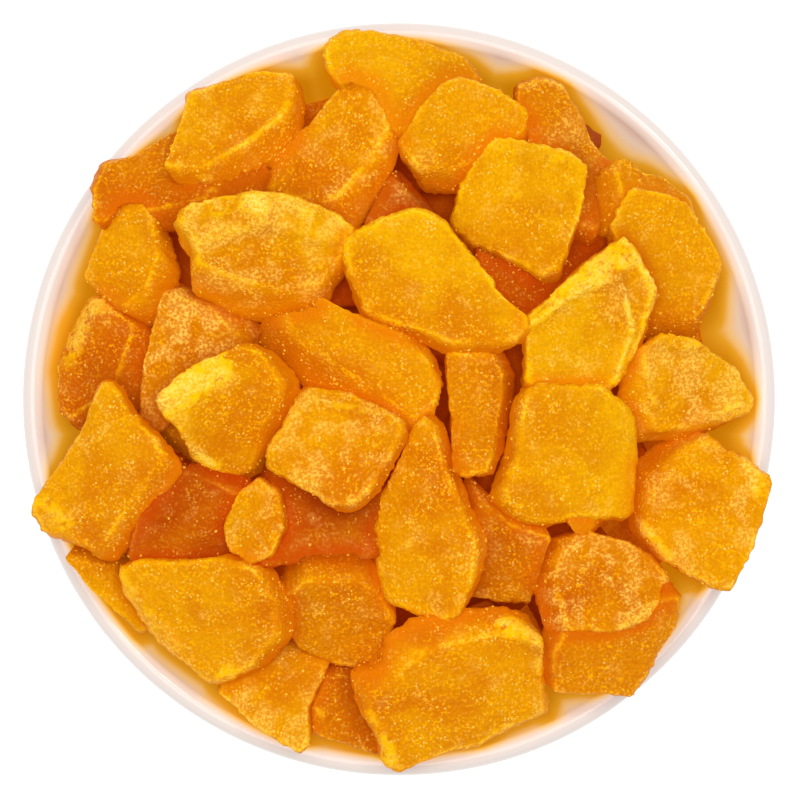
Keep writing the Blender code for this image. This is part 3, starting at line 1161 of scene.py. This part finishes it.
@dataclass
class Slab:
    """How a dice's rounded, uneven skin is drawn round its corners. Lengths are in metres.

    Crispest and softest are the degrees that a corner is spread over. Scallop and frill are how far the
    outline waves, as shares of its reach, and scallops and frills are how often. Roundest and squarest
    are the powers that shape its section.
    """

    grow: float = 1.02
    softest: float = 4
    crispest: float = 1.5
    corner_span: int = 20
    scallop: float = 0.018
    scallops: float = 1.9
    frill: float = 0.02
    frills: float = 11
    squarest: float = 16
    roundest: float = 7
    dome: float = 0.1
    bend: float = 0.9 * MM
    rim_sharpness: float = 7
    dullest_rim: float = 0.1
    brightest_rim: float = 0.7
    flank_top: float = 0.75
    flank_fade: float = 0.5
    # How much deeper each dice is painted towards its visible cut side: painted shading
    side_shade: float = 0.55

    def skin(self, laid: Laid, grid: SkinGrid, number: int) -> dict[str, np.ndarray]:
        """Shapes a grid into a dice.

        Args:
            laid: The dice where it lies.
            grid: The grid.
            number: Sets the dice's own unevenness.

        Returns:
            Its points, and the numbers that they carry. Rim, sides_and_contacts and covered say how far a
            point is on a thin edge or a fold, on a side, and under other dice; press adds the places next
            to a dice above to the sides, for painted shade and glow. Shade is how deep its colour is, frost
            how crusted it is, and ridge how many mm it is from the edge of the top.
        """
        rng = random.Random(number)
        u, v, w = grid.points.T
        out = np.maximum(np.abs(u), np.abs(v))
        angle = np.arctan2(v, u)
        way = ways(angle)
        edge = self.grow * self.reach(laid.outline, angle, rng.uniform(self.crispest, self.softest))
        edge *= 1 + self.scallop * self.rough(way * self.scallops, w, number)
        edge *= 1 + self.frill * self.rough(way * self.frills, w * 2, number + 0.5)
        power = rng.uniform(self.roundest, self.squarest)
        shrink = (out**power + np.abs(w) ** power + 1e-12) ** (-1 / power) * np.maximum(out, np.abs(w))
        flat = way @ laid.outline.stretch() * (out * edge * shrink)[:, None]
        toward = ways(np.radians(laid.dice.side))
        span = laid.outline.reach(toward[None])[0]
        lean = laid.dice.lean * MM
        flat -= np.outer(lean * np.clip(w, 0, 1) * (1 + flat @ toward / span) / 2, toward)
        dome = 1 + rng.uniform(-0.1, 1) * self.dome * (1 - out**2) - self.dome / 3
        level = laid.thickness / 2 * w * shrink * np.where(w > 0, dome, 1)
        level += rng.uniform(-1, 1) * self.bend * (flat[:, 0] ** 2 - flat[:, 1] ** 2) / span**2
        spots = flat + laid.outline.middle
        # Rim marks the thin edge of the top, which the finish paints paler as painted light through thin
        # flesh
        rim = np.where(w > 0, np.minimum(out, np.abs(w)) ** self.rim_sharpness, 0)
        rim *= rng.uniform(self.dullest_rim, self.brightest_rim)
        # Folds raise the top and take the same painted light as thin edges
        for fold in laid.dice.folds:
            raised = fold.raised(spots) * np.clip(w * 2, 0, 1)
            level += fold.height * MM * raised
            rim = np.maximum(rim, fold.bright * raised)
        return {
            "points": np.column_stack((spots, laid.height + level + flat @ laid.slope)),
            "rim": rim,
            "sides_and_contacts": np.clip((self.flank_top - w) / self.flank_fade, 0, 1),
            "covered": np.zeros(len(w)),
            # Each dice's tone, deepened towards its visible cut side as painted shading
            "shade": laid.dice.shade + self.side_shade * np.clip(flat @ toward / span, -1, 1),
            "frost": np.full(len(w), laid.dice.frost),
            "ridge": ((1 - out) * span + (1 - w) * laid.thickness / 2) / MM,
        }

    def reach(self, outline: Outline, angle: np.ndarray, softness: float) -> np.ndarray:
        """How far the edge is once its corners are rounded.

        Args:
            outline: The dice's outline.
            angle: Directions from its middle, as they are before the outline's stretch.
            softness: How many degrees each corner is spread over.

        Returns:
            The distance in each direction, in lengths of the stretched direction.
        """
        turns = np.radians(np.arange(-180, 180))
        sharp = outline.reach(ways(turns) @ outline.stretch())
        shifts = np.arange(-self.corner_span, self.corner_span + 1)
        weights = np.exp(-((shifts / softness) ** 2) / 2)
        soft = sum(weight * np.roll(sharp, shift) for weight, shift in zip(weights, shifts)) / weights.sum()
        return np.interp(angle, turns, soft, period=math.tau)

    def rough(self, way: np.ndarray, level: np.ndarray, seed: float) -> np.ndarray:
        """Noise from about -1 to 1 round an outline, the finer the longer the ways are."""
        # Each seed reads the noise in a place of its own
        spots = np.column_stack((way, level * 0.6)) + np.array((7.3, -3.1, 0)) * seed
        return np.array([noise.noise(spot) * 1.6 for spot in spots.tolist()])


@dataclass
class Relief:
    """The lumps, wrinkles and ragged edges of a dried, sugared skin. Lengths are in metres."""

    lump_size: float = 6.5 * MM
    lump_height: float = 1.0 * MM
    wrinkle_size: float = 3.2 * MM
    wrinkle_depth: float = 0.25 * MM
    knobble_size: float = 1.5 * MM
    knobble_height: float = 0.45 * MM
    ragged_size: float = 1.1 * MM
    ragged_height: float = 0.6 * MM

    def tree(self) -> ShapeTree:
        """Builds the tree that raises the relief.

        Returns:
            The tree.
        """
        t = ShapeTree("dried_skin", vars(self))
        place = t.node("GeometryNodeInputPosition")
        lumps = (t.noise(place, t.size("Lump Size"), 1) - 0.5) * t.size("Lump Height")
        fold = 1 - abs(t.noise(place, t.size("Wrinkle Size"), 1, 0.5) * 2 - 1)
        wrinkles = fold**6 * t.size("Wrinkle Depth")
        knobbles = (t.noise(place, t.size("Knobble Size"), 2) - 0.5) * t.size("Knobble Height")
        edge = t.attribute("rim")
        ragged = (t.noise(place, t.size("Ragged Size"), 1) - 0.4) * t.size("Ragged Height") * edge
        out = t.node("GeometryNodeInputNormal") * (lumps - wrinkles + knobbles + ragged)
        moved = t.node("GeometryNodeSetPosition", None, {"Geometry": t.inlet, "Offset": out})
        t.end(moved, smooth=True)
        return t


@dataclass
class Sugar:
    """Loose grains of sugar on the dice that show. Lengths are in metres."""

    density: float = 0.5e6
    grain: float = 0.25 * MM
    spread: float = 0.6
    cluster: float = 4 * MM
    cover: float = 2.5 * MM
    skin: float = 0.25 * MM

    def tree(self) -> ShapeTree:
        """Builds the tree that scatters the grains.

        Returns:
            The tree.
        """
        t = ShapeTree("sugar_grains", vars(self))
        place = t.node("GeometryNodeInputPosition")
        normal = t.node("GeometryNodeInputNormal")
        up = t.node("ShaderNodeSeparateXYZ", None, {"Vector": normal}).also("Z")
        patches = t.noise(place, t.size("Cluster"), 3, 0.3).rise(0.4, 0.66)
        strewn = t.size("Density") * (0.12 + 0.88 * patches) * up.rise(0.1, 0.6)
        spots = {"Mesh": t.inlet, "Density": strewn, "Seed": 3}
        points = t.node("GeometryNodeDistributePointsOnFaces", {"distribute_method": "RANDOM"}, spots)
        above = t.node("ShaderNodeCombineXYZ", None, {"Z": t.size("Skin")})
        ray = {
            "Target Geometry": t.inlet,
            "Source Position": place + above,
            "Ray Direction": (0, 0, 1),
            "Ray Length": t.size("Cover"),
        }
        hidden = t.node("GeometryNodeRaycast", None, ray)
        bare = t.node("GeometryNodeDeleteGeometry", None, {"Geometry": points, "Selection": hidden})
        cube = t.node("GeometryNodeMeshCube", None, {"Size": (2, 2, 2)})
        crystal = t.node("GeometryNodeDualMesh", None, {"Mesh": cube})
        size = t.size("Grain") * (1 + t.size("Spread") * t.random(-1.0, 1.0, 1))
        strewn_on = {
            "Points": bare,
            "Instance": crystal,
            "Rotation": t.random((0, 0, 0), (math.tau, math.tau, math.tau), 2),
            "Scale": size * t.random((0.6, 0.6, 0.6), (1.2, 1.2, 1.2), 4),
        }
        grains = t.node("GeometryNodeInstanceOnPoints", None, strewn_on)
        tinted = {"Geometry": grains, "Name": "tint", "Value": t.random(0.0, 1.0, 5)}
        kept = {"data_type": "FLOAT", "domain": "INSTANCE"}
        t.end(t.node("GeometryNodeStoreNamedAttribute", kept, tinted), smooth=False)
        return t


@dataclass
class Heap:
    """The diced peach in the bowl. Lengths are in metres, but buried_length and buried_width in mm."""

    bowl: Bowl
    gap: float = 0.5 * MM
    mound: float = 13 * MM
    edge_rise: float = 7 * MM
    core_depth: float = 26 * MM
    buried_depth: float = 9 * MM
    thickness: float = 11 * MM
    steepest: float = math.tan(math.radians(21))
    sink: float = 0.6 * MM
    bearing: float = 0.65
    seed: int = 9
    thickness_range: tuple[float, float] = (0.85, 1.15)
    buried: int = 26
    buried_seed: int = 5
    buried_spread: float = 55 * MM
    buried_length: tuple[float, float] = (20, 29)
    buried_width: tuple[float, float] = (17, 23)
    lift: float = 1.4 * MM
    cover: float = 0.9
    neighbour: float = 20 * MM
    shelter: float = 2.2 * MM
    cell: float = 1 * MM
    reach: float = 80 * MM
    core_rings: int = 40
    core_turns: int = 140
    fine_grid: tuple[int, int] = (40, 12)
    coarse_grid: tuple[int, int] = (14, 6)

    def crown(self, radius: Any) -> Any:
        """Height of the heap's top at a distance from the axis, or at an array of them."""
        fall = np.clip(radius / self.bowl.rim_radius, 0, 1) ** 2
        return self.bowl.height + self.edge_rise + self.mound * (1 - fall)

    def core_height(self, radius: Any) -> Any:
        """Height of the core's top, for a distance from the axis or for an array of them."""
        return self.crown(radius) - self.core_depth

    def core_profile(self) -> list[Place]:
        """The core's section.

        Returns:
            Radius and height of each point, over its domed top and back along the bowl's wall.
        """
        edge = self.bowl.inner
        while self.bowl.inside_height(edge) > self.core_height(edge):
            edge -= self.gap
        edge -= self.gap
        radii, clear = np.linspace(0, edge, self.core_rings), 1.2 * self.gap
        top = [(r, self.core_height(r)) for r in radii]
        wall = [(r, self.bowl.inside_height(r) + clear) for r in np.linspace(edge, 0, self.core_rings)]
        return top + wall

    def buried_dice(self) -> Iterator[Dice]:
        """The layer under the dice that show, on a spiral that spreads them evenly. They take the deepest
        tone, partly painted shade for the gaps they show through.

        Returns:
            The dice, one after another.
        """
        rng = random.Random(self.buried_seed)
        for i in range(self.buried):
            radius, angle = self.buried_spread * math.sqrt((i + 0.5) / self.buried), i * GOLDEN_ANGLE
            x, y = radius * math.cos(angle) / MM, radius * math.sin(angle) / MM
            length, width = rng.uniform(*self.buried_length), rng.uniform(*self.buried_width)
            corners = block(x, y, length, width, rng.uniform(0, 360))
            yield Dice(corners, shade=rng.random(), side=90 * i)

    def lay(self) -> list[Laid]:
        """Drops each dice in turn on what lies under it.

        Returns:
            The dice where they lie, from the lowest to the highest.
        """
        ground = Ground(self.bowl, self.core_height, self.cell, self.reach, self.gap)
        rng = random.Random(self.seed)
        laid = []
        for number, dice in enumerate([*self.buried_dice(), *SHOWN]):
            outline, thickness = dice.outline(), self.thickness * rng.uniform(*self.thickness_range)
            deeper = self.buried_depth * (number < self.buried)
            ceiling = self.crown(np.linalg.norm(outline.middle)) - deeper
            height, slope = ground.settle(outline, thickness, ceiling, self)
            height += self.lift * ((number - self.buried) / len(SHOWN) - 0.5) * (number >= self.buried)
            laid.append(Laid(dice, outline, thickness, height, slope))
        return laid

    def press(self, skin: Mapping[str, np.ndarray], later: Sequence[Laid]) -> None:
        """Presses a dice down to where the dice laid on it leave room, and marks it near and below them,
        for the painted shade and glow that its finish gives there.

        Args:
            skin: The dice's points and the numbers they carry, which it changes.
            later: The dice that were laid after it.
        """
        points, sides_and_contacts, covered = skin["points"], skin["sides_and_contacts"], skin["covered"]
        for above in later:
            flat = points[:, :2] - above.outline.middle
            if np.linalg.norm(flat, axis=1).min() < self.neighbour:
                under = above.outline.holds(points[:, :2], self.cover)
                plane = above.height + flat @ above.slope
                points[under, 2] = np.minimum(points[under, 2], plane[under])
                # Next to a dice above: marked as a side, so the finish paints it deeper, bare and glowing
                # more, painted shade and glow
                away = above.outline.away(points[:, :2]) / self.shelter
                sides_and_contacts[:] = np.maximum(sides_and_contacts, np.exp(-(away**2)))
                # Below a dice above: the finish paints this darker and with less glow, as painted shade
                below = np.clip((plane - points[:, 2]) / self.shelter / 2 + 0.5, 0, 1)
                covered[:] = np.maximum(covered, below * np.exp(-((away / 2) ** 2)))

    def joined(
        self, name: str, laid: Sequence[Laid], chosen: Sequence[int], grid: SkinGrid
    ) -> bpy.types.Object:
        """Several dice as one piece.

        Args:
            name: The piece's name.
            laid: All the dice, from the lowest to the highest.
            chosen: The numbers of those in this piece.
            grid: The grid that each is shaped from.

        Returns:
            The piece, with the numbers that its points carry.
        """
        skins = [Slab().skin(laid[number], grid, number) for number in chosen]
        for number, skin in zip(chosen, skins):
            self.press(skin, laid[number + 1 :])
        points = np.concatenate([skin["points"] for skin in skins])
        steps = np.arange(len(skins)) * len(grid.points)
        faces = np.concatenate([grid.faces + step for step in steps])
        made = as_object(name, points.tolist(), [], faces.tolist())
        for key in ("rim", "ridge", "sides_and_contacts", "covered", "shade", "frost"):
            numbers = made.data.attributes.new(key, "FLOAT", "POINT")
            numbers.data.foreach_set("value", np.concatenate([skin[key] for skin in skins]))
        return made

    def build_core(self) -> bpy.types.Object:
        """The plain middle of the heap, seen only through the gaps, in the deepest tone: partly painted
        shade.

        Returns:
            The piece.
        """
        core = turned("heap_core", self.core_profile(), self.core_turns)
        core.data.materials.append(FINISHES[Tone.RUSSET].material())
        return core

    def build(self) -> list[bpy.types.Object]:
        """Shapes and dresses all the dice and strews the sugar.

        Returns:
            The pieces.
        """
        laid = self.lay()
        relief = Relief().tree()
        fine, coarse = SkinGrid(*self.fine_grid), SkinGrid(*self.coarse_grid)
        pieces = [self.build_core()]
        shown = []
        for tone in Tone:
            chosen = [i for i in range(self.buried, len(laid)) if laid[i].dice.tone is tone]
            piece = self.joined(f"{tone.value}_dice", laid, chosen, fine)
            relief.apply(piece, FINISHES[tone].material())
            shown.append(piece)
        under = self.joined("buried_dice", laid, range(self.buried), coarse)
        relief.apply(under, FINISHES[Tone.RUSSET].material())
        pieces += [*shown, under]
        pieces.append(self.strew("sugar_on_pale_dice", shown[:2], PALE_SUGAR))
        pieces.append(self.strew("sugar_on_deep_dice", shown[2:], DEEP_SUGAR))
        return pieces

    def strew(self, name: str, shown: Sequence[bpy.types.Object], finish: SugarFinish) -> bpy.types.Object:
        """Strews sugar over dice that show.

        Args:
            name: The sugar's name.
            shown: The dice's pieces.
            finish: The sugar's finish.

        Returns:
            The sugar.
        """
        work = bmesh.new()
        for piece in shown:
            work.from_mesh(piece.data)
        sugar = as_object(name, [], [], [])
        work.to_mesh(sugar.data)
        work.free()
        Sugar().tree().apply(sugar, finish.material())
        return sugar


# Studio


@dataclass
class Studio:
    """The floor, the lights and the camera. Lengths are in metres.

    Nudge is one pixel of the picture, as a share of its width.
    """

    rim_height: float
    distance: float = 0.6
    view_width: float = 0.16
    sensor: float = 36.0
    nudge: float = 1 / 800
    floor_size: float = 3.0
    sky: float = 0.65

    def camera(self) -> None:
        """Looks straight down on the bowl."""
        data = bpy.data.cameras.new("camera")
        data.sensor_width = self.sensor
        data.lens = self.sensor * self.distance / self.view_width
        data.shift_x, data.shift_y = self.nudge, -self.nudge
        camera = bpy.data.objects.new("camera", data)
        camera.location = (0, 0, self.rim_height + self.distance)
        bpy.context.scene.collection.objects.link(camera)
        bpy.context.scene.camera = camera

    def lamp(self, name: str, place: Sequence[float], size: float, power: float) -> None:
        """Adds a soft square lamp that points at the bowl.

        Args:
            name: Its name.
            place: Where it hangs.
            size: The length of its side.
            power: Its power in watts.
        """
        data = bpy.data.lights.new(name, "AREA")
        data.size, data.energy = size, power
        lamp = bpy.data.objects.new(name, data)
        lamp.location = place
        lamp.rotation_euler = (-Vector(place)).to_track_quat("-Z", "Y").to_euler()
        bpy.context.scene.collection.objects.link(lamp)

    def light(self) -> None:
        """A bright even sky, a large soft lamp and a smaller one that draws the glints."""
        world = bpy.data.worlds.new("studio")
        world.use_nodes = True
        sky = world.node_tree.nodes["Background"].inputs
        sky["Color"].default_value = (1, 1, 1, 1)
        sky["Strength"].default_value = self.sky
        bpy.context.scene.world = world
        self.lamp("large_lamp", place=(-0.12, 0.12, 1.3), size=0.8, power=10)
        self.lamp("small_lamp", place=(0.3, 0.3, 0.95), size=0.15, power=1.5)

    def floor(self) -> None:
        """A plain pale floor that isn't part of the object."""
        half = self.floor_size / 2
        corners = [(-half, -half, 0), (half, -half, 0), (half, half, 0), (-half, half, 0)]
        floor = as_object("studio_floor", corners, [], [(0, 1, 2, 3)])
        floor.data.materials.append(FloorFinish().material())

    def build(self) -> None:
        """Sets the whole studio up."""
        self.camera()
        self.light()
        self.floor()
        bpy.context.scene.view_settings.view_transform = "Standard"


def place(piece: bpy.types.Object, node: str, slot: str) -> None:
    """Fixes a piece to the frame.

    Args:
        piece: The piece.
        node: The solid that it stands for.
        slot: The record's material slot. It is not used.
    """
    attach(piece, "root")
    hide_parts(node)
    log.info("%s: %d faces", piece.name, len(piece.data.polygons))


def main() -> None:
    """Builds the bowl, the heap and the studio, and logs how many faces each piece has."""
    logging.basicConfig(level=logging.INFO, format="%(message)s")
    bowl = Bowl()
    Studio(bowl.height).build()
    place(bowl.build([dice.outline() for dice in SHOWN]), "bowl", "white_glaze")
    for piece in Heap(bowl).build():
        place(piece, "diced_dried_peach", "dried_peach")


if __name__ == "__main__":
    main()
